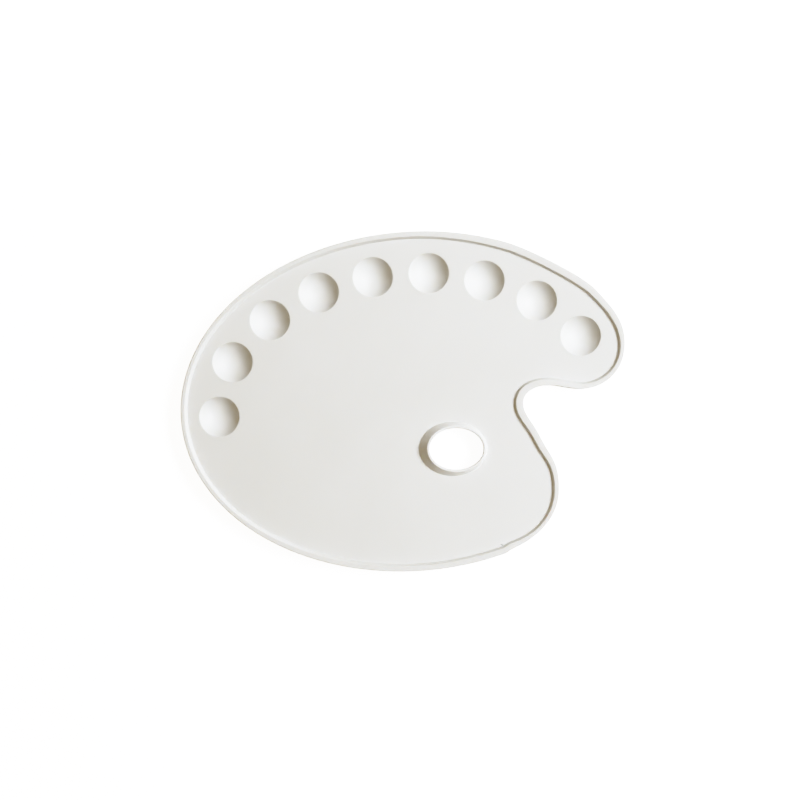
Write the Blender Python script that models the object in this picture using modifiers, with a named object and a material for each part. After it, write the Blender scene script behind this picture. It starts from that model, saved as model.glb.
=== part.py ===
"""A moulded mixing palette: one plastic shell with a raised rim, nine colour wells and a thumb hole.

It lies flat with its working face up (+Z). +X points to the notched end and +Y to the edge with
the wells. The origin is the centre of the palette's bounding box, on the plane that it rests on.
Sizes are millimetres here, and become metres where a mesh is made.
"""

import math

import bpy
from mathutils import Vector

MM = 0.001

# --- the shell ---
WALL = 2.0
FACE_Z = 9.6                             # the mixing face, above the table
FACE_UNDER_Z = FACE_Z - WALL

# --- the rim: a solid bead round the face, carried down to the table as a skirt ---
RIM_STEP = 2.5                           # how far the rim stands above the face
RIM_Z = FACE_Z + RIM_STEP
# at shares of the way round, anticlockwise from the top of the notched end: its width, from the
# outer edge to the middle of its inner wall, and how far in that wall slopes on its way down
RIM_SECTIONS = (
    (0.00, 5.6, 1.3),
    (0.08, 4.4, 1.5),
    (0.20, 4.0, 1.8),
    (0.28, 3.7, 1.8),
    (0.40, 3.9, 1.9),
    (0.47, 4.4, 1.8),
    (0.55, 4.5, 1.6),
    (0.63, 4.8, 1.4),
    (0.665, 3.4, 1.4),
    (0.70, 4.0, 1.3),
    (0.74, 5.2, 1.2),
    (0.775, 5.8, 1.2),
    (0.80, 4.6, 1.4),
    (0.835, 4.0, 1.4),
    (0.868, 3.6, 1.2),
    (0.90, 5.0, 1.2),
    (0.94, 5.7, 1.2),
    (1.00, 5.6, 1.3),
)
RIM_CROWN_FALL = 0.15                    # the rim's top falls this much towards the inner wall
OUTER_ROUND = 0.5                        # radius between the skirt and the rim's top
ROUND_STEPS = 3
SKIRT_THICKNESS = 2.0                    # at its foot
SKIRT_DRAFT = 0.1                        # each side of the skirt leans in this much as it rises

# --- the outline: an oval, closed at the notched end by a curve through knots ---
OVAL_CENTRE = (6.7, 0.0)
OVAL_HALF_LENGTH = 159.8
OVAL_HALF_WIDTH = 116.7
OVAL_TILT = math.radians(4.85)
OVAL_START = math.radians(62)
OVAL_END = math.radians(288)
OVAL_TO_LOBE_HANDLE = 11.5
# each knot: x, y, heading in degrees, and the lengths of the handles behind it and ahead of it
NOTCH_KNOTS = (
    (79.5, -99.5, 26, 13.5, 14.5),
    (107.5, -60.5, 90, 19.0, 19.5),      # the widest point of the lower lobe
    (95.0, -25.0, 117, 15.5, 15.0),
    (83.0, -1.0, 90, 8.0, 8.0),          # the bottom of the notch
    (100.0, 11.0, 2, 8.0, 6.0),
    (124.5, 8.5, 6, 7.5, 18.0),
    (152.5, 43.0, 94, 19.0, 12.5),       # the widest point of the upper lobe
    (132.0, 77.5, 134, 19.5, 13.5),
)
LOBE_TO_OVAL_HANDLE = 13.0
FINE_ARC_STEPS = 400
FINE_CURVE_STEPS = 60
OUTLINE_POINTS = 150
BEND_SHARE = 14.0                        # points per radian of bend, as millimetres of straight edge

# --- nine round wells, at equal steps along an oval of their own ---
WELL_COUNT = 9
WELL_RADIUS = 13.75
WELL_DEPTH = 7.2
WELL_BALL = (WELL_RADIUS ** 2 + WELL_DEPTH ** 2) / (2 * WELL_DEPTH)
WELL_BALL_Z = FACE_Z - WELL_DEPTH + WELL_BALL
WELL_PITCH = 38.6
WELL_OVAL_CENTRE = (6.4, -2.3)
WELL_OVAL_HALF_LENGTH = 132.7
WELL_OVAL_HALF_WIDTH = 90.4
WELL_OVAL_TILT = math.radians(3.3)
FIRST_WELL = math.radians(180.4)
WELL_SIDES = 26
WELL_RINGS = 5
WELL_STRIDE = math.radians(0.02)

# --- the thumb hole, in a collar that slopes up from the face; its crown sweeps down towards +X ---
COLLAR_Y = -32.6
COLLAR_TOP = FACE_Z + 6.0                # the crown at its high end, on -X
COLLAR_LOW_TOP = FACE_Z + 2.6            # and at its low end
COLLAR_SWEEP = 2.5                       # above 1, the crown drops soonest near its high end
# each section: centre X, half length, half width
COLLAR_FOOT = (34.45, 23.45, 18.7)
COLLAR_CROWN = (36.9, 20.2, 15.9)
COLLAR_CROWN_INNER = (36.9, 19.7, 15.4)
CROWN_ROUND = 0.5
COLLAR_OPENING = (36.9, 18.5, 14.2)
COLLAR_LIP = 1.2                         # height of the opening's upright edge
COLLAR_HOLLOW_FOOT = (34.3, 22.1, 17.3)
COLLAR_SIDES = 40

OVERLAP = 1.0                            # how far joined shapes run into each other, and cutters past

COLOUR = (0.80, 0.79, 0.76, 1.0)
ROUGHNESS = 0.35


def on_oval(centre, half_length, half_width, tilt, angle):
    """A point of a tilted oval, and the heading there on the way round anticlockwise."""
    along = Vector((math.cos(tilt), math.sin(tilt)))
    across = Vector((-along.y, along.x))
    point = Vector(centre) + along * half_length * math.cos(angle) + across * half_width * math.sin(angle)
    heading = across * half_width * math.cos(angle) - along * half_length * math.sin(angle)
    return point, math.atan2(heading.y, heading.x)


def outline_oval(angle):
    return on_oval(OVAL_CENTRE, OVAL_HALF_LENGTH, OVAL_HALF_WIDTH, OVAL_TILT, angle)


def curve_between(a, b, steps):
    """Points of the Bezier curve from knot a up to, but not including, knot b."""
    start = Vector(a[:2])
    end = Vector(b[:2])
    leave = start + a[4] * Vector((math.cos(a[2]), math.sin(a[2])))
    arrive = end - b[3] * Vector((math.cos(b[2]), math.sin(b[2])))
    points = []
    for i in range(steps):
        t = i / steps
        s = 1 - t
        points.append(s ** 3 * start + 3 * s * s * t * leave + 3 * s * t * t * arrive + t ** 3 * end)
    return points


def fine_outline():
    """The outer edge as a dense closed run of points, anticlockwise, centred on its own box."""
    sweep = OVAL_END - OVAL_START
    points = [outline_oval(OVAL_START + sweep * i / FINE_ARC_STEPS)[0] for i in range(FINE_ARC_STEPS)]
    lower, lower_heading = outline_oval(OVAL_END)
    upper, upper_heading = outline_oval(OVAL_START)
    knots = [(lower.x, lower.y, lower_heading, 0.0, OVAL_TO_LOBE_HANDLE)]
    knots += [(x, y, math.radians(turn), behind, ahead) for x, y, turn, behind, ahead in NOTCH_KNOTS]
    knots.append((upper.x, upper.y, upper_heading, LOBE_TO_OVAL_HANDLE, 0.0))
    for a, b in zip(knots, knots[1:]):
        points += curve_between(a, b, FINE_CURVE_STEPS)
    middle = Vector([(min(p[i] for p in points) + max(p[i] for p in points)) / 2 for i in (0, 1)])
    return [p - middle for p in points]


def spaced_outline(count):
    """The outline again in this many points, closer together where it bends."""
    fine = fine_outline()
    shares = []
    for i, point in enumerate(fine):
        behind = point - fine[i - 1]
        ahead = fine[(i + 1) % len(fine)] - point
        shares.append(ahead.length + BEND_SHARE * abs(behind.angle_signed(ahead, 0.0)))
    step = sum(shares) / count
    points = []
    run = 0.0
    for i, share in enumerate(shares):
        while len(points) < count and len(points) * step < run + share:
            part = (len(points) * step - run) / share
            points.append(fine[i].lerp(fine[(i + 1) % len(fine)], part))
        run += share
    return points


def inward_normals(points):
    """The unit vector pointing into the palette at each point of the outline."""
    normals = []
    for i in range(len(points)):
        along = points[(i + 1) % len(points)] - points[i - 1]
        normals.append(Vector((-along.y, along.x)).normalized())
    return normals


def rim_sections(points):
    """The rim's width and its inner wall's run at each point, eased from one set pair to the next."""
    steps = [(point - points[i - 1]).length for i, point in enumerate(points)]
    whole = sum(steps)
    sections = []
    run = 0.0
    for step in steps[1:] + steps[:1]:
        share = run / whole
        run += step
        for (start, *before), (end, *after) in zip(RIM_SECTIONS, RIM_SECTIONS[1:]):
            if start <= share <= end:
                t = (share - start) / (end - start)
                sections.append(Vector(before).lerp(Vector(after), t * t * (3 - 2 * t)))
                break
    return sections


def edge_section(width, wall_run):
    """The section through the edge, as pairs of distance in from the outer edge and height.

    It runs from under the face down the inside of the skirt, round its foot, up the outside,
    over the rim and down the inner wall to the face.
    """
    section = [(SKIRT_THICKNESS + SKIRT_DRAFT, FACE_UNDER_Z), (SKIRT_THICKNESS, 0.0), (0.0, 0.0)]
    for i in range(ROUND_STEPS + 1):
        turn = math.pi / 2 * i / ROUND_STEPS
        inset = SKIRT_DRAFT + OUTER_ROUND * (1 - math.cos(turn))
        section.append((inset, RIM_Z - OUTER_ROUND * (1 - math.sin(turn))))
    section.append((width - wall_run / 2, RIM_Z - RIM_CROWN_FALL))
    section.append((width + wall_run / 2, FACE_Z))
    return section


def lofted_solid(name, rings, collection):
    """A closed solid through rings of points: the first ring and the last are capped."""
    points = [Vector(p) * MM for ring in rings for p in ring]
    count = len(rings[0])
    faces = [tuple(reversed(range(count))), tuple(range(len(points) - count, len(points)))]
    for start in range(0, len(points) - count, count):
        for i in range(count):
            j = (i + 1) % count
            faces.append((start + i, start + j, start + count + j, start + count + i))
    mesh = bpy.data.meshes.new(name)
    mesh.from_pydata(points, [], faces)
    thing = bpy.data.objects.new(name, mesh)
    collection.objects.link(thing)
    return thing


def make_tray(collection):
    """The face, the rim and the skirt as one loft, because the rim's width changes on the way round."""
    points = spaced_outline(OUTLINE_POINTS)
    normals = inward_normals(points)
    sections = [edge_section(*section) for section in rim_sections(points)]
    rings = []
    for level in zip(*sections):
        places = [point + normal * inset for point, normal, (inset, _) in zip(points, normals, level)]
        rings.append([(place.x, place.y, height) for place, (_, height) in zip(places, level)])
    return lofted_solid("palette", rings, collection)


def well_places():
    """The wells' centres, found by walking along their oval from the first one."""
    oval = (WELL_OVAL_CENTRE, WELL_OVAL_HALF_LENGTH, WELL_OVAL_HALF_WIDTH, WELL_OVAL_TILT)
    angle = FIRST_WELL
    places = [on_oval(*oval, angle)[0]]
    while len(places) < WELL_COUNT:
        angle -= WELL_STRIDE
        ahead = on_oval(*oval, angle)[0]
        if (ahead - places[-1]).length >= WELL_PITCH:
            places.append(ahead)
    return places


def ball_cap(name, radius, top, place, collection):
    """The lower cap of a ball about a well's centre of curvature, cut off level at the given height."""
    widest = math.acos((WELL_BALL_Z - top) / radius)
    profile = [(0.0, top)]
    for i in range(WELL_RINGS + 1):
        turn = widest * (1 - i / WELL_RINGS)
        profile.append((radius * math.sin(turn), WELL_BALL_Z - radius * math.cos(turn)))
    mesh = bpy.data.meshes.new(name)
    edges = [(i, i + 1) for i in range(len(profile) - 1)]
    mesh.from_pydata([Vector((x, 0.0, z)) * MM for x, z in profile], edges, [])
    cap = bpy.data.objects.new(name, mesh)
    cap.location = Vector((place.x, place.y, 0.0)) * MM
    collection.objects.link(cap)
    turned = cap.modifiers.new("turned", "SCREW")
    turned.steps = WELL_SIDES
    turned.render_steps = WELL_SIDES
    turned.use_merge_vertices = True
    turned.merge_threshold = 0.00001
    return cap


def oval_ring(section, height, low_height=None):
    """The points of a level oval, or of one that sweeps down from its -X end to a lower +X end."""
    centre_x, half_length, half_width = section
    whole_fall = 0.0 if low_height is None else height - low_height
    ring = []
    for i in range(COLLAR_SIDES):
        turn = 2 * math.pi * i / COLLAR_SIDES
        x = centre_x + half_length * math.cos(turn)
        y = COLLAR_Y + half_width * math.sin(turn)
        fall = whole_fall * (1 - ((1 - math.cos(turn)) / 2) ** COLLAR_SWEEP)
        ring.append((x, y, height - fall))
    return ring


def make_collar(collection):
    rings = [
        oval_ring(COLLAR_FOOT, FACE_Z - OVERLAP),
        oval_ring(COLLAR_FOOT, FACE_Z),
        oval_ring(COLLAR_CROWN, COLLAR_TOP - CROWN_ROUND, COLLAR_LOW_TOP - CROWN_ROUND),
        oval_ring(COLLAR_CROWN_INNER, COLLAR_TOP, COLLAR_LOW_TOP),
        oval_ring(COLLAR_OPENING, COLLAR_TOP, COLLAR_LOW_TOP),
    ]
    return lofted_solid("collar", rings, collection)


def make_thumb_cutter(collection):
    """The hollow under the collar, narrowing up to the opening and on through the crown."""
    rings = [
        oval_ring(COLLAR_HOLLOW_FOOT, FACE_UNDER_Z - OVERLAP),
        oval_ring(COLLAR_HOLLOW_FOOT, FACE_UNDER_Z),
        oval_ring(COLLAR_OPENING, COLLAR_TOP - COLLAR_LIP, COLLAR_LOW_TOP - COLLAR_LIP),
        oval_ring(COLLAR_OPENING, COLLAR_TOP + OVERLAP),
    ]
    return lofted_solid("thumb_cutter", rings, collection)


def combine(body, tool, operation):
    step = body.modifiers.new(tool.name, "BOOLEAN")
    step.operation = operation
    step.solver = "EXACT"
    step.object = tool
    tool.hide_render = True
    tool.display_type = "WIRE"


def white_plastic():
    material = bpy.data.materials.new("white_plastic")
    material.use_nodes = True
    shader = material.node_tree.nodes["Principled BSDF"]
    shader.inputs["Base Color"].default_value = COLOUR
    shader.inputs["Roughness"].default_value = ROUGHNESS
    shader.inputs["Metallic"].default_value = 0.0
    return material


def main():
    for thing in list(bpy.data.objects):
        bpy.data.objects.remove(thing, do_unlink=True)
    parts = bpy.data.collections.new("mixing_palette")
    tools = bpy.data.collections.new("cutters")
    bpy.context.scene.collection.children.link(parts)
    bpy.context.scene.collection.children.link(tools)

    palette = make_tray(parts)
    palette.data.materials.append(white_plastic())
    places = well_places()
    for i, place in enumerate(places, 1):
        bulge = ball_cap(f"well_bulge_{i}", WELL_BALL + WALL, FACE_Z - OVERLAP, place, tools)
        combine(palette, bulge, "UNION")
    combine(palette, make_collar(tools), "UNION")
    for i, place in enumerate(places, 1):
        bowl = ball_cap(f"well_bowl_{i}", WELL_BALL, FACE_Z + OVERLAP, place, tools)
        combine(palette, bowl, "DIFFERENCE")
    combine(palette, make_thumb_cutter(tools), "DIFFERENCE")


main()
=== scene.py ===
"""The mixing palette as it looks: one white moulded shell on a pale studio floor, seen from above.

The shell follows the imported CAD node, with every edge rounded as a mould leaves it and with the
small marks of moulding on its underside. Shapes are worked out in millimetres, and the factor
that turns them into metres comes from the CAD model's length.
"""

import math

import bmesh
import bpy
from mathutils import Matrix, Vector


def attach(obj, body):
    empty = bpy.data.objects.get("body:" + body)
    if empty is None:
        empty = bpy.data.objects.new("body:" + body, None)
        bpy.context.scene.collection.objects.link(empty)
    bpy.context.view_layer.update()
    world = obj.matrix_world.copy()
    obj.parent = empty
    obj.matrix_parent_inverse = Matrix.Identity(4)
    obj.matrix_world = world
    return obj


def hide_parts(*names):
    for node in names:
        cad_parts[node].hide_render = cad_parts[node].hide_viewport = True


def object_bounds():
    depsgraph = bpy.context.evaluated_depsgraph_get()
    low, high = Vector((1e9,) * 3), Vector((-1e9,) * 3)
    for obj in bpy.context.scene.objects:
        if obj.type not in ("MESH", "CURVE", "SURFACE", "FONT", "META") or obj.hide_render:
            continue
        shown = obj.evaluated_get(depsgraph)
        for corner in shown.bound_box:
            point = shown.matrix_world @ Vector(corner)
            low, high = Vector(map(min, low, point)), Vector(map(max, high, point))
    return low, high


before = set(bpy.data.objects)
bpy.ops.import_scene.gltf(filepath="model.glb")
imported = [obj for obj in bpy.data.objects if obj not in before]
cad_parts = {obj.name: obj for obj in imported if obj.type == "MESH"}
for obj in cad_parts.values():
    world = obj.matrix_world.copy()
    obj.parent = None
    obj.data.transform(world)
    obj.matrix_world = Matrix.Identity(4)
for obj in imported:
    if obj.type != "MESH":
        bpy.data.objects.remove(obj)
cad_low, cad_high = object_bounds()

# ---------------------------------------------------------------- sizes, in millimetres

# the shell
WALL = 2.0
FACE_Z = 9.6
FACE_UNDER_Z = FACE_Z - WALL
FLAT_MARGIN = 1.0                        # level strip left round everything that rises or sinks

# the rim and the skirt
RIM_STEP = 2.5
RIM_Z = FACE_Z + RIM_STEP
# at shares of the way round, anticlockwise from the top of the notched end: the rim's width, from
# the outer edge to the middle of its inner wall, and how far in that wall slopes on its way down
RIM_SECTIONS = (
    (0.00, 5.6, 1.3),
    (0.08, 4.4, 1.5),
    (0.20, 4.0, 1.8),
    (0.28, 3.7, 1.8),
    (0.40, 3.9, 1.9),
    (0.47, 4.4, 1.8),
    (0.55, 4.5, 1.6),
    (0.63, 4.8, 1.4),
    (0.665, 3.4, 1.4),
    (0.70, 4.0, 1.3),
    (0.74, 5.2, 1.2),
    (0.775, 5.8, 1.2),
    (0.80, 4.6, 1.4),
    (0.835, 4.0, 1.4),
    (0.868, 3.6, 1.2),
    (0.90, 5.0, 1.2),
    (0.94, 5.7, 1.2),
    (1.00, 5.6, 1.3),
)
RIM_CROWN_FALL = 0.15
RIM_INNER_ROUND = 0.55
RIM_FOOT_ROUND = 0.45
OUTER_ROUND = 0.5
SKIRT_THICKNESS = 2.0
SKIRT_DRAFT = 0.1
SKIRT_FOOT_ROUND = 0.35
SKIRT_ROOT_ROUND = 0.9

# the outline: an oval, closed at the notched end by a curve through knots
OVAL_CENTRE = (6.7, 0.0)
OVAL_HALF_LENGTH = 159.8
OVAL_HALF_WIDTH = 116.7
OVAL_TILT = math.radians(4.85)
OVAL_START = math.radians(62)
OVAL_END = math.radians(288)
OVAL_TO_LOBE_HANDLE = 11.5
# each knot: x, y, heading in degrees, and the lengths of the handles behind it and ahead of it
NOTCH_KNOTS = (
    (79.5, -99.5, 26, 13.5, 14.5),
    (107.5, -60.5, 90, 19.0, 19.5),
    (95.0, -25.0, 117, 15.5, 15.0),
    (83.0, -1.0, 90, 8.0, 8.0),
    (100.0, 11.0, 2, 8.0, 6.0),
    (124.5, 8.5, 6, 7.5, 18.0),
    (152.5, 43.0, 94, 19.0, 12.5),
    (132.0, 77.5, 134, 19.5, 13.5),
)
LOBE_TO_OVAL_HANDLE = 13.0
FINE_ARC_STEPS = 1600
FINE_CURVE_STEPS = 200
OUTLINE_POINTS = 720
BEND_SHARE = 14.0                        # points per radian of bend, as millimetres of straight edge

# the nine wells
WELL_COUNT = 9
WELL_RADIUS = 13.75
WELL_DEPTH = 7.2
WELL_BALL = (WELL_RADIUS ** 2 + WELL_DEPTH ** 2) / (2 * WELL_DEPTH)
WELL_BALL_Z = FACE_Z - WELL_DEPTH + WELL_BALL
WELL_PITCH = 38.6
WELL_OVAL = ((6.4, -2.3), 132.7, 90.4, math.radians(3.3))
FIRST_WELL = math.radians(180.4)
WELL_STRIDE = math.radians(0.02)
WELL_LIP_ROUND = 0.5
WELL_BULGE_ROUND = 1.0
WELL_SIDES = 96
WELL_RINGS = 20

# the thumb hole's collar, whose crown sweeps down towards +X
COLLAR_Y = -32.6
COLLAR_TOP = FACE_Z + 6.0                # the crown at its high end, on -X
COLLAR_LOW_TOP = FACE_Z + 2.6            # and at its low end
COLLAR_SWEEP = 2.5                       # above 1, the crown drops soonest near its high end
# each section: centre X, half length, half width
COLLAR_FOOT = (34.45, 23.45, 18.7)
COLLAR_CROWN = (36.9, 20.2, 15.9)
COLLAR_OPENING = (36.9, 18.5, 14.2)
COLLAR_HOLLOW_FOOT = (34.3, 22.1, 17.3)
COLLAR_LIP = 1.2
COLLAR_FOOT_ROUND = 0.4
COLLAR_CROWN_ROUND = 0.7
COLLAR_OPENING_ROUND = 0.5
COLLAR_LIP_ROUND = 0.25
COLLAR_SIDES = 160

# moulding marks under the face
EJECTOR_RADIUS = 4.0
EJECTOR_DEPTH = 0.12
EJECTOR_OVAL = ((-12.0, -18.0), 92.0, 52.0, math.radians(4.85))
EJECTOR_COUNT = 7
FIRST_EJECTOR = math.radians(18)
GATE_PLACE = (-20.0, 2.0)
GATE_RADIUS = 1.8
GATE_HEIGHT = 0.5
MARK_SIDES = 40
MARK_ROUND = 0.08

ROUND_STEPS = 6


# ---------------------------------------------------------------- outline

def on_oval(centre, half_length, half_width, tilt, angle):
    """A point of a tilted oval, and the heading there on the way round anticlockwise."""
    along = Vector((math.cos(tilt), math.sin(tilt)))
    across = Vector((-along.y, along.x))
    point = Vector(centre) + along * half_length * math.cos(angle) + across * half_width * math.sin(angle)
    heading = across * half_width * math.cos(angle) - along * half_length * math.sin(angle)
    return point, math.atan2(heading.y, heading.x)


def outline_oval(angle):
    return on_oval(OVAL_CENTRE, OVAL_HALF_LENGTH, OVAL_HALF_WIDTH, OVAL_TILT, angle)


def curve_between(a, b, steps):
    """Points of the Bezier curve from knot a up to, but not including, knot b."""
    start = Vector(a[:2])
    end = Vector(b[:2])
    leave = start + a[4] * Vector((math.cos(a[2]), math.sin(a[2])))
    arrive = end - b[3] * Vector((math.cos(b[2]), math.sin(b[2])))
    points = []
    for i in range(steps):
        t = i / steps
        s = 1 - t
        points.append(s ** 3 * start + 3 * s * s * t * leave + 3 * s * t * t * arrive + t ** 3 * end)
    return points


def fine_outline():
    """The outer edge as a dense closed run of points, anticlockwise, centred on its own box."""
    sweep = OVAL_END - OVAL_START
    points = [outline_oval(OVAL_START + sweep * i / FINE_ARC_STEPS)[0] for i in range(FINE_ARC_STEPS)]
    lower, lower_heading = outline_oval(OVAL_END)
    upper, upper_heading = outline_oval(OVAL_START)
    knots = [(lower.x, lower.y, lower_heading, 0.0, OVAL_TO_LOBE_HANDLE)]
    knots += [(x, y, math.radians(turn), behind, ahead) for x, y, turn, behind, ahead in NOTCH_KNOTS]
    knots.append((upper.x, upper.y, upper_heading, LOBE_TO_OVAL_HANDLE, 0.0))
    for a, b in zip(knots, knots[1:]):
        points += curve_between(a, b, FINE_CURVE_STEPS)
    middle = Vector([(min(p[i] for p in points) + max(p[i] for p in points)) / 2 for i in (0, 1)])
    return [p - middle for p in points]


def spaced_outline(count):
    """The outline again in this many points, closer together where it bends."""
    fine = fine_outline()
    shares = []
    for i, point in enumerate(fine):
        behind = point - fine[i - 1]
        ahead = fine[(i + 1) % len(fine)] - point
        shares.append(ahead.length + BEND_SHARE * abs(behind.angle_signed(ahead, 0.0)))
    step = sum(shares) / count
    points = []
    run = 0.0
    for i, share in enumerate(shares):
        while len(points) < count and len(points) * step < run + share:
            part = (len(points) * step - run) / share
            points.append(fine[i].lerp(fine[(i + 1) % len(fine)], part))
        run += share
    return points


def inward_normals(points):
    """The unit vector pointing into the palette at each point of the outline."""
    normals = []
    for i in range(len(points)):
        along = points[(i + 1) % len(points)] - points[i - 1]
        normals.append(Vector((-along.y, along.x)).normalized())
    return normals


def rim_sections(points):
    """The rim's width and its inner wall's run at each point, eased from one set pair to the next."""
    steps = [(point - points[i - 1]).length for i, point in enumerate(points)]
    whole = sum(steps)
    sections = []
    run = 0.0
    for step in steps[1:] + steps[:1]:
        share = run / whole
        run += step
        for (start, *before), (end, *after) in zip(RIM_SECTIONS, RIM_SECTIONS[1:]):
            if start <= share <= end:
                t = (share - start) / (end - start)
                sections.append(Vector(before).lerp(Vector(after), t * t * (3 - 2 * t)))
                break
    return sections


# ---------------------------------------------------------------- rounded sections

def rounded(corners):
    """A run of points through corners, each given as a point and the radius that rounds it."""
    path = []
    for i, (corner, radius) in enumerate(corners):
        if radius == 0.0:
            path.append(corner)
            continue
        back = (corners[i - 1][0] - corner).normalized()
        ahead = (corners[i + 1][0] - corner).normalized()
        half = back.angle(ahead) / 2
        centre = corner + (back + ahead).normalized() * radius / math.sin(half)
        start = corner + back * radius / math.tan(half) - centre
        end = corner + ahead * radius / math.tan(half) - centre
        sweep = math.pi - 2 * half
        for k in range(ROUND_STEPS + 1):
            t = k / ROUND_STEPS
            blend = (math.sin((1 - t) * sweep) * start + math.sin(t * sweep) * end) / math.sin(sweep)
            path.append(centre + blend)
    return path


def edge_section(width, wall_run):
    """The section through the edge, as distance in from the outer edge and height.

    It runs from under the face down the inside of the skirt, up its outside, over the rim and down
    the inner wall to the face.
    """
    inside = SKIRT_THICKNESS + SKIRT_DRAFT
    top_of_wall = width - wall_run / 2
    foot_of_wall = width + wall_run / 2
    return rounded([
        (Vector((inside + SKIRT_ROOT_ROUND + FLAT_MARGIN, FACE_UNDER_Z)), 0.0),
        (Vector((inside, FACE_UNDER_Z)), SKIRT_ROOT_ROUND),
        (Vector((SKIRT_THICKNESS, 0.0)), SKIRT_FOOT_ROUND),
        (Vector((0.0, 0.0)), SKIRT_FOOT_ROUND),
        (Vector((SKIRT_DRAFT, RIM_Z)), OUTER_ROUND),
        (Vector((top_of_wall, RIM_Z - RIM_CROWN_FALL)), RIM_INNER_ROUND),
        (Vector((foot_of_wall, FACE_Z)), RIM_FOOT_ROUND),
        (Vector((foot_of_wall + RIM_FOOT_ROUND + FLAT_MARGIN, FACE_Z)), 0.0),
    ])


def bowl_section(ball, plane_z, lip):
    """The section of a well, as radius and height: a level margin, the rounded lip and the ball.

    It serves the bowl in the face and the bulge under it, which differ in the ball's radius.
    """
    rise = WELL_BALL_Z - plane_z + lip
    lip_radius = math.sqrt((ball + lip) ** 2 - rise ** 2)
    section = [(lip_radius + FLAT_MARGIN, plane_z)]
    towards_ball = math.atan2(rise, -lip_radius)
    for k in range(ROUND_STEPS + 1):
        turn = math.pi / 2 + (towards_ball - math.pi / 2) * k / ROUND_STEPS
        section.append((lip_radius + lip * math.cos(turn), plane_z - lip + lip * math.sin(turn)))
    widest = math.atan2(lip_radius, rise)
    for k in range(1, WELL_RINGS):
        turn = widest * (1 - k / WELL_RINGS)
        section.append((ball * math.sin(turn), WELL_BALL_Z - ball * math.cos(turn)))
    return section


def mark_section(radius, height):
    """The section of a round mark under the face, as radius and height; a height below 0 stands proud."""
    step = MARK_ROUND if height > 0 else -MARK_ROUND
    return [
        (radius + FLAT_MARGIN, FACE_UNDER_Z),
        (radius, FACE_UNDER_Z),
        (radius - MARK_ROUND, FACE_UNDER_Z + step),
        (radius - 2 * MARK_ROUND, FACE_UNDER_Z + height),
    ]


def oval_point(section, turn, height, grow=0.0):
    """A point of one of the collar's ovals, at a turn from +X."""
    centre_x, half_length, half_width = section
    x = centre_x + (half_length + grow) * math.cos(turn)
    y = COLLAR_Y + (half_width + grow) * math.sin(turn)
    return Vector((x, y, height))


def collar_section(turn):
    """The section of the collar at one turn from +X.

    It runs up from the face, over the crown, down the hole's edge and back under the slope.
    """
    top = COLLAR_LOW_TOP + (COLLAR_TOP - COLLAR_LOW_TOP) * ((1 - math.cos(turn)) / 2) ** COLLAR_SWEEP
    spread = COLLAR_FOOT_ROUND + FLAT_MARGIN
    return rounded([
        (oval_point(COLLAR_FOOT, turn, FACE_Z, spread), 0.0),
        (oval_point(COLLAR_FOOT, turn, FACE_Z), COLLAR_FOOT_ROUND),
        (oval_point(COLLAR_CROWN, turn, top), COLLAR_CROWN_ROUND),
        (oval_point(COLLAR_OPENING, turn, top), COLLAR_OPENING_ROUND),
        (oval_point(COLLAR_OPENING, turn, top - COLLAR_LIP), COLLAR_LIP_ROUND),
        (oval_point(COLLAR_HOLLOW_FOOT, turn, FACE_UNDER_Z), COLLAR_FOOT_ROUND),
        (oval_point(COLLAR_HOLLOW_FOOT, turn, FACE_UNDER_Z, spread), 0.0),
    ])


# ---------------------------------------------------------------- the shell's mesh

def loft(mesh, rings):
    """Faces between rings of points, one after another. Returns the first ring and the last."""
    rows = [[mesh.verts.new(point) for point in ring] for ring in rings]
    for low, high in zip(rows, rows[1:]):
        for i in range(len(low)):
            j = (i + 1) % len(low)
            mesh.faces.new((low[i], low[j], high[j], high[i]))
    return rows[0], rows[-1]


def turned(mesh, section, place, sides):
    """A turned shape about a vertical axis, closed at its middle. Returns its outer ring."""
    x, y = place
    turns = [2 * math.pi * i / sides for i in range(sides)]
    rings = []
    for radius, height in section:
        rings.append([(x + radius * math.cos(turn), y + radius * math.sin(turn), height) for turn in turns])
    outer, inner = loft(mesh, rings)
    mesh.faces.new(inner)
    return outer


def loft_edge(mesh):
    """The skirt and the rim, round the outline. Returns the rings that meet the underside and the face."""
    points = spaced_outline(OUTLINE_POINTS)
    normals = inward_normals(points)
    sections = [edge_section(*section) for section in rim_sections(points)]
    rings = []
    for level in zip(*sections):
        places = [point + normal * spot.x for point, normal, spot in zip(points, normals, level)]
        rings.append([(place.x, place.y, spot.y) for place, spot in zip(places, level)])
    return loft(mesh, rings)


def loft_collar(mesh):
    """The collar and its hole. Returns the rings that meet the face and the underside."""
    sections = [collar_section(2 * math.pi * i / COLLAR_SIDES) for i in range(COLLAR_SIDES)]
    return loft(mesh, zip(*sections))


def fill_level(mesh, rings):
    """Closes the level ground between an outer ring and the rings of everything that stands in it."""
    edges = []
    for ring in rings:
        edges += [mesh.edges.get((ring[i - 1], ring[i])) for i in range(len(ring))]
    bmesh.ops.triangle_fill(mesh, use_beauty=True, edges=edges)


def well_places():
    """The wells' centres, found by walking along their oval from the first one."""
    angle = FIRST_WELL
    places = [on_oval(*WELL_OVAL, angle)[0]]
    while len(places) < WELL_COUNT:
        angle -= WELL_STRIDE
        ahead = on_oval(*WELL_OVAL, angle)[0]
        if (ahead - places[-1]).length >= WELL_PITCH:
            places.append(ahead)
    return places


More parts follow.
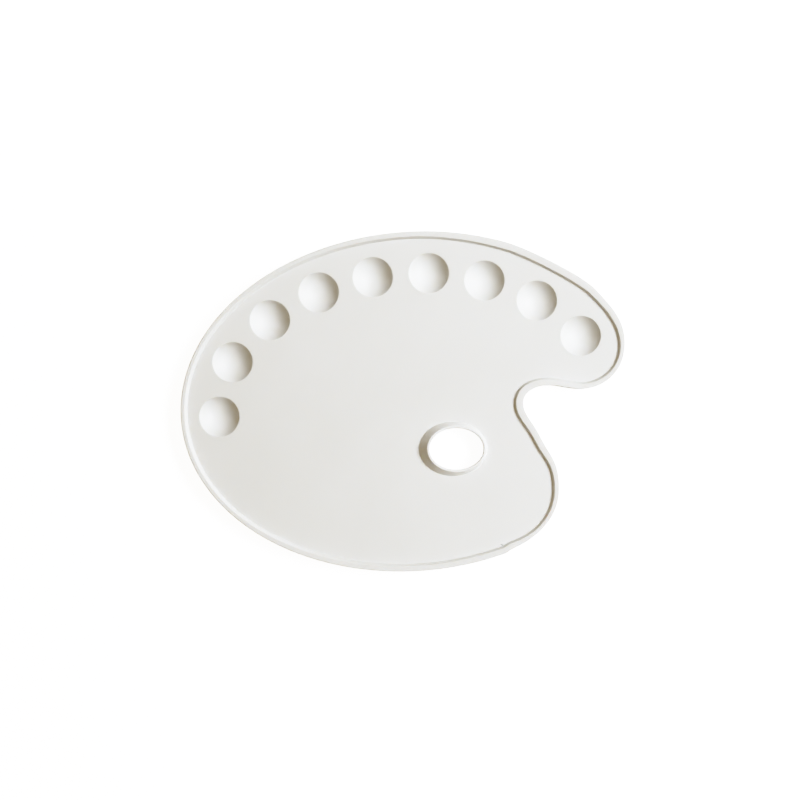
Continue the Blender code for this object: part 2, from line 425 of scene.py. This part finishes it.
def make_shell():
    """The whole palette as one closed mesh, drawn in millimetres and then scaled to the CAD's length."""
    mesh = bmesh.new()
    edge_under, edge_face = loft_edge(mesh)
    collar_face, collar_under = loft_collar(mesh)
    under_rings = [edge_under, collar_under]
    face_rings = [edge_face, collar_face]
    bowl = bowl_section(WELL_BALL, FACE_Z, WELL_LIP_ROUND)
    bulge = bowl_section(WELL_BALL + WALL, FACE_UNDER_Z, WELL_BULGE_ROUND)
    for place in well_places():
        face_rings.append(turned(mesh, bowl, place, WELL_SIDES))
        under_rings.append(turned(mesh, bulge, place, WELL_SIDES))
    ejector_mark = mark_section(EJECTOR_RADIUS, EJECTOR_DEPTH)
    for i in range(EJECTOR_COUNT):
        place = on_oval(*EJECTOR_OVAL, FIRST_EJECTOR + 2 * math.pi * i / EJECTOR_COUNT)[0]
        under_rings.append(turned(mesh, ejector_mark, place, MARK_SIDES))
    gate_stub = mark_section(GATE_RADIUS, -GATE_HEIGHT)
    under_rings.append(turned(mesh, gate_stub, GATE_PLACE, MARK_SIDES))
    fill_level(mesh, face_rings)
    fill_level(mesh, under_rings)
    bmesh.ops.recalc_face_normals(mesh, faces=mesh.faces)

    drawn_length = max(v.co.x for v in mesh.verts) - min(v.co.x for v in mesh.verts)
    scale = (cad_high.x - cad_low.x) / drawn_length
    bmesh.ops.scale(mesh, vec=(scale, scale, scale), verts=mesh.verts)
    data = bpy.data.meshes.new("palette_shell")
    mesh.to_mesh(data)
    mesh.free()
    data.shade_smooth()
    shell = bpy.data.objects.new("palette_shell", data)
    bpy.context.scene.collection.objects.link(shell)
    return shell


# ---------------------------------------------------------------- materials

PLASTIC_LIGHT = (0.795, 0.79, 0.775, 1.0)
PLASTIC_DARK = (0.775, 0.77, 0.75, 1.0)
GLOSSIEST = 0.46                         # the plastic's roughness, where it is smoothest
DULLEST = 0.56                           # and where it is most worn
PAPER = (0.93, 0.93, 0.93, 1.0)
NOISE_LOW = 0.3
NOISE_HIGH = 0.7


def new_material(name):
    material = bpy.data.materials.new(name)
    material.use_nodes = True
    nodes = material.node_tree.nodes
    return material, nodes, material.node_tree.links, nodes["Principled BSDF"]


def noise(nodes, links, place, scale, detail, roughness=0.5):
    """A noise texture's value. The scale is in repeats per metre."""
    texture = nodes.new("ShaderNodeTexNoise")
    texture.inputs["Scale"].default_value = scale
    texture.inputs["Detail"].default_value = detail
    texture.inputs["Roughness"].default_value = roughness
    links.new(place, texture.inputs["Vector"])
    return texture.outputs["Fac"]


def to_range(nodes, links, value, low, high):
    """Noise keeps mostly to the middle of its range: that middle becomes low to high."""
    step = nodes.new("ShaderNodeMapRange")
    step.inputs["From Min"].default_value = NOISE_LOW
    step.inputs["From Max"].default_value = NOISE_HIGH
    step.inputs["To Min"].default_value = low
    step.inputs["To Max"].default_value = high
    links.new(value, step.inputs["Value"])
    return step.outputs["Result"]


def bump(nodes, links, height, distance, strength, below=None):
    """A bumped normal, with the distance in metres, on top of another one if given."""
    step = nodes.new("ShaderNodeBump")
    step.inputs["Distance"].default_value = distance
    step.inputs["Strength"].default_value = strength
    links.new(height, step.inputs["Height"])
    if below is not None:
        links.new(below, step.inputs["Normal"])
    return step.outputs["Normal"]


def moulded_plastic():
    """Off-white polystyrene: a faint cloudiness, a satin mould texture and a slow waviness."""
    material, nodes, links, shader = new_material("moulded_plastic")
    place = nodes.new("ShaderNodeTexCoord").outputs["Object"]

    clouds = noise(nodes, links, place, scale=14.0, detail=3.0)
    tint = nodes.new("ShaderNodeMix")
    tint.data_type = "RGBA"
    tint.inputs["A"].default_value = PLASTIC_DARK
    tint.inputs["B"].default_value = PLASTIC_LIGHT
    links.new(to_range(nodes, links, clouds, 0.0, 1.0), tint.inputs["Factor"])
    links.new(tint.outputs["Result"], shader.inputs["Base Color"])

    smears = noise(nodes, links, place, scale=60.0, detail=5.0, roughness=0.65)
    links.new(to_range(nodes, links, smears, GLOSSIEST, DULLEST), shader.inputs["Roughness"])

    swell = noise(nodes, links, place, scale=22.0, detail=1.0)
    waves = bump(nodes, links, swell, distance=0.0004, strength=0.15)
    satin = noise(nodes, links, place, scale=2600.0, detail=2.0)
    grain = bump(nodes, links, satin, distance=0.00002, strength=0.25, below=waves)
    links.new(grain, shader.inputs["Normal"])

    shader.inputs["Metallic"].default_value = 0.0
    shader.inputs["IOR"].default_value = 1.5
    shader.inputs["Subsurface Weight"].default_value = 0.15
    shader.inputs["Subsurface Radius"].default_value = (1.0, 0.85, 0.65)
    shader.inputs["Subsurface Scale"].default_value = 0.002
    return material


def floor_paper():
    """White paper with a glow that the camera alone sees: it keeps shadows faint and lights nothing."""
    material, nodes, links, shader = new_material("floor_paper")
    place = nodes.new("ShaderNodeTexCoord").outputs["Object"]
    fibres = noise(nodes, links, place, scale=900.0, detail=3.0)
    links.new(bump(nodes, links, fibres, distance=0.00005, strength=0.1), shader.inputs["Normal"])
    shader.inputs["Base Color"].default_value = PAPER
    shader.inputs["Roughness"].default_value = 0.9
    shader.inputs["Specular IOR Level"].default_value = 0.2
    shader.inputs["Emission Color"].default_value = (1.0, 1.0, 1.0, 1.0)
    glow = nodes.new("ShaderNodeMath")
    glow.operation = "MULTIPLY"
    glow.inputs[1].default_value = FLOOR_GLOW
    links.new(nodes.new("ShaderNodeLightPath").outputs["Is Camera Ray"], glow.inputs[0])
    links.new(glow.outputs["Value"], shader.inputs["Emission Strength"])
    return material


# ---------------------------------------------------------------- stage, lights and camera

FLOOR_RADIUS = 6.0
FLOOR_SIDES = 96
FLOOR_GLOW = 0.64
KEY_TOWARDS = math.radians(14)           # the key light stands on this side, measured from +X
KEY_HEIGHT = math.radians(46)
KEY_DISTANCE = 1.5
KEY_LENGTH = 2.8                         # a long level strip, square to its direction
KEY_WIDTH = 0.5
KEY_SPREAD = math.radians(62)
KEY_AIM = Vector((0.0, 0.05, 0.0))
KEY_POWER = 5.8
KEY_COLOUR = (0.808, 0.884, 1.0)
FILL_LIGHT = (0.132, 0.095, 0.034, 1.0)  # the warm dim room
BACKGROUND = (1.0, 1.0, 1.0, 1.0)        # what is seen past the floor
EXPOSURE = 1.0                           # in stops
SHOULDER_START = 0.35                    # tones above this ease towards white
SHOULDER_STEPS = 8
COMBINED_CURVE = 3                       # the one that acts on red, green and blue alike
LENS = 100.0
SENSOR = 36.0
VIEW_PLANE = 0.010
VIEW_WIDTH = 0.5499                      # what the camera takes in at that height
VIEW_CENTRE = (-0.0019, 0.00094)


def make_floor():
    bpy.ops.mesh.primitive_circle_add(vertices=FLOOR_SIDES, radius=FLOOR_RADIUS, fill_type="NGON")
    floor = bpy.context.object
    floor.name = "floor"
    floor.data.materials.append(floor_paper())


def make_key_light():
    """A long level strip to the right of the palette and above it, cool against the warm room."""
    light = bpy.data.lights.new("key", "AREA")
    light.shape = "RECTANGLE"
    light.size = KEY_LENGTH
    light.size_y = KEY_WIDTH
    light.spread = KEY_SPREAD
    light.energy = KEY_POWER
    light.color = KEY_COLOUR
    lamp = bpy.data.objects.new("key", light)
    flat = math.cos(KEY_HEIGHT)
    away = Vector((flat * math.cos(KEY_TOWARDS), flat * math.sin(KEY_TOWARDS), math.sin(KEY_HEIGHT)))
    lamp.location = KEY_AIM + away * KEY_DISTANCE
    lamp.rotation_euler = (-away).to_track_quat("-Z", "Y").to_euler()
    bpy.context.scene.collection.objects.link(lamp)


def make_room():
    """A dim warm room as far as light goes, which the camera sees as plain white past the floor."""
    world = bpy.data.worlds.new("room")
    world.use_nodes = True
    bpy.context.scene.world = world
    nodes = world.node_tree.nodes
    links = world.node_tree.links
    lit = nodes["Background"]
    lit.inputs["Color"].default_value = FILL_LIGHT
    seen = nodes.new("ShaderNodeBackground")
    seen.inputs["Color"].default_value = BACKGROUND
    choice = nodes.new("ShaderNodeMixShader")
    links.new(nodes.new("ShaderNodeLightPath").outputs["Is Camera Ray"], choice.inputs[0])
    links.new(lit.outputs["Background"], choice.inputs[1])
    links.new(seen.outputs["Background"], choice.inputs[2])
    links.new(choice.outputs["Shader"], nodes["World Output"].inputs["Surface"])


def make_camera():
    """Straight down, with +Y up the picture."""
    data = bpy.data.cameras.new("camera")
    data.lens = LENS
    data.sensor_width = SENSOR
    camera = bpy.data.objects.new("camera", data)
    camera.location = (*VIEW_CENTRE, VIEW_PLANE + VIEW_WIDTH * LENS / SENSOR)
    bpy.context.scene.collection.objects.link(camera)
    bpy.context.scene.camera = camera


def set_tones():
    """The standard view, brightened, on a curve that eases bright plastic gently into white."""
    view = bpy.context.scene.view_settings
    view.view_transform = "Standard"
    view.exposure = EXPOSURE
    view.use_curve_mapping = True
    curve = view.curve_mapping.curves[COMBINED_CURVE]
    white = 0.5 ** EXPOSURE
    room = white - SHOULDER_START
    curve.points[1].location = (1.0, white)
    curve.points.new(SHOULDER_START / 2, SHOULDER_START / 2)
    for i in range(SHOULDER_STEPS):
        tone = SHOULDER_START + (1.0 - SHOULDER_START) * (i / SHOULDER_STEPS) ** 2
        curve.points.new(tone, white - room * math.exp((SHOULDER_START - tone) / room))
    view.curve_mapping.update()


make_camera()
make_floor()
make_key_light()
make_room()
set_tones()

palette = make_shell()
palette.data.materials.append(moulded_plastic())
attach(palette, "root")
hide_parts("palette")
